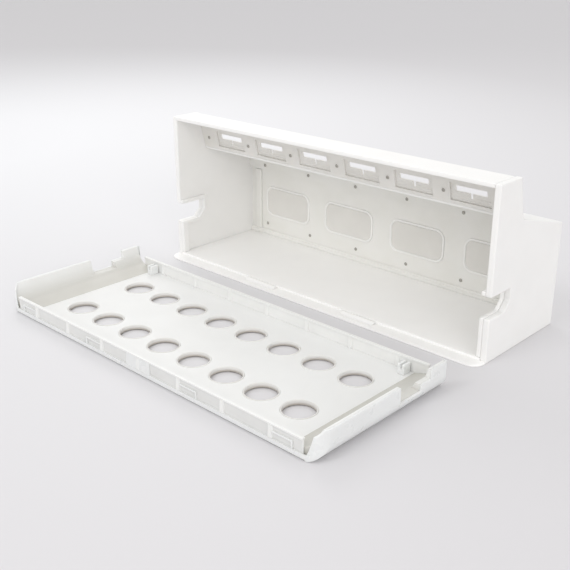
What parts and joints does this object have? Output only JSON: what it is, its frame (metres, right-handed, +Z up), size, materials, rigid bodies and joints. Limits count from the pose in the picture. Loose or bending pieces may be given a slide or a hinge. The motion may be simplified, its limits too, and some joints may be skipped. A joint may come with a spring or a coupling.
{
  "type": "nesting box",
  "caption": "Long open-fronted moulded housing with slotted strip, windowed back and notched ends, and a shallow perforated cover that closes its front.",
  "frame": {"origin": "centre of the housing's base", "axes": "+X along the length, +Y from the open front to the back, +Z up"},
  "size_m": [0.6, 0.494, 0.236],
  "materials": {
    "housing_shell": "satin white moulding",
    "housing_liner": "satin off-white moulding",
    "window_pane": "fine-grained off-white sheet",
    "cover_shell": "milky translucent moulding",
    "cover_liner": "satin white moulding",
    "cover_ring": "satin white moulding",
    "screw_steel": "zinc-plated steel"
  },
  "bodies": {
    "housing": {"floor_pan": "housing_shell", "floor_catches": "housing_shell", "left_end_wall": "housing_shell", "right_end_wall": "housing_shell", "left_notch_collar": "housing_shell", "right_notch_collar": "housing_shell", "top_panel": "housing_shell", "slotted_strip": "housing_liner", "slot_plates": "housing_liner", "rear_roof": "housing_shell", "back_panel": "housing_liner", "window_frames": "housing_liner", "window_pane_1": "window_pane", "window_pane_2": "window_pane", "window_pane_3": "window_pane", "window_pane_4": "window_pane", "back_beam": "housing_liner", "back_foot_rail": "housing_liner", "left_corner_post": "housing_liner", "right_corner_post": "housing_liner", "strip_screws": "screw_steel", "back_upper_screws": "screw_steel", "back_lower_screws": "screw_steel"},
    "cover": {"cover_skin": "cover_shell", "cover_deck": "cover_liner", "hole_rings": "cover_ring", "left_cover_cheek": "cover_liner", "right_cover_cheek": "cover_liner", "cover_front_rail": "cover_liner", "cover_rear_rail": "cover_liner", "cover_tabs": "cover_shell", "cover_centre_pad": "cover_shell", "corner_latches": "cover_shell"}
  },
  "joints": [
    {"name": "cover_swing", "type": "hinge", "parent": "housing", "child": "cover", "pos_m": [0, -0.1465, -0.0219], "axis": [1, 0, 0], "range_deg": [-90, 0]}
  ]
}
